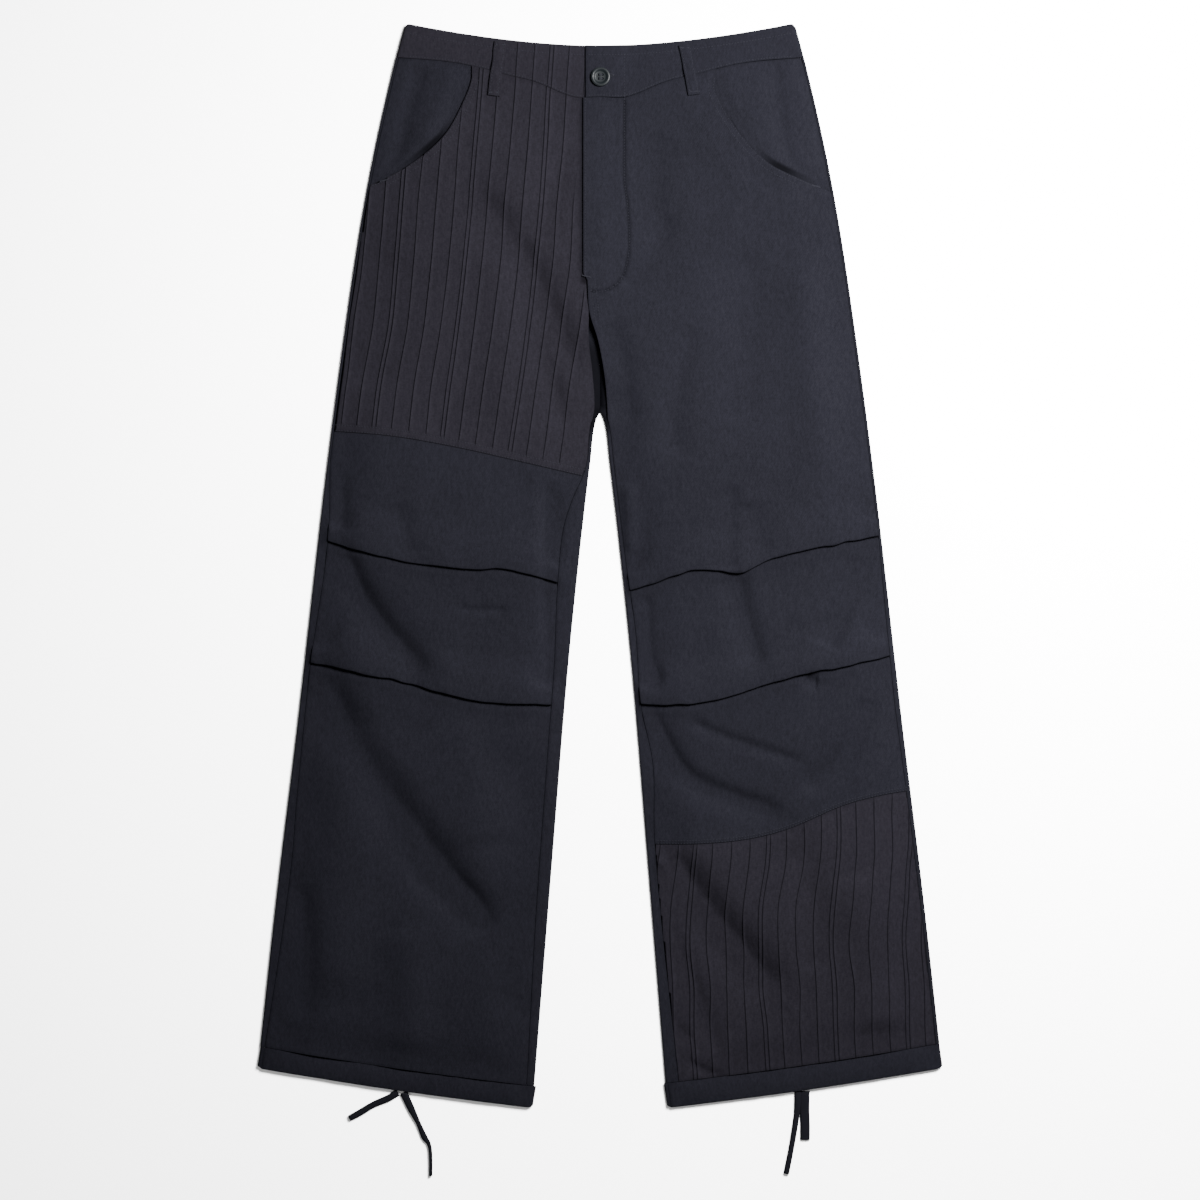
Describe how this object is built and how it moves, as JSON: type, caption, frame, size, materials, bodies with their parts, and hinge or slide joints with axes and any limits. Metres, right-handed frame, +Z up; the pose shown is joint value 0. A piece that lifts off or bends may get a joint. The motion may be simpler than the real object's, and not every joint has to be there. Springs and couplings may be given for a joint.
{
  "type": "wide-leg trousers",
  "caption": "Wide-leg trousers laid flat, front up, with pintucked panels, knee tucks, slant pockets, buttoned fly and hem drawcords.",
  "frame": {"origin": "middle of the flat outline, on the surface the garment lies on", "axes": "+X towards the wearer's left leg, +Y towards the waist, +Z up out of the front"},
  "size_m": [0.684, 1.1527, 0.0099],
  "materials": {
    "twill": "fine navy-black twill with a slight sheen",
    "pleated_cloth": "matt navy-black cloth with a warmer cast, pintucked",
    "button": "polished near-black",
    "tape": "folded tape of the same cloth"
  },
  "bodies": {
    "root": {"front_right_thigh": "pleated_cloth", "front_right_leg": "twill", "front_left": "twill", "front_left_cuff": "pleated_cloth", "back_right": "twill", "back_left": "twill", "pocket_facing_right": "twill", "pocket_facing_left": "twill", "waistband_front_right": "pleated_cloth", "waistband_front_left": "twill", "waistband_back": "twill", "loop_front_right": "pleated_cloth", "loop_front_left": "twill", "loop_back_centre": "twill", "loop_back_right": "twill", "loop_back_left": "twill", "hem_right": "twill", "hem_left": "twill", "button": "button", "cord_tail_right_a": "tape", "cord_tail_right_b": "tape", "cord_tail_left_a": "tape", "cord_tail_left_b": "tape"}
  },
  "joints": []
}
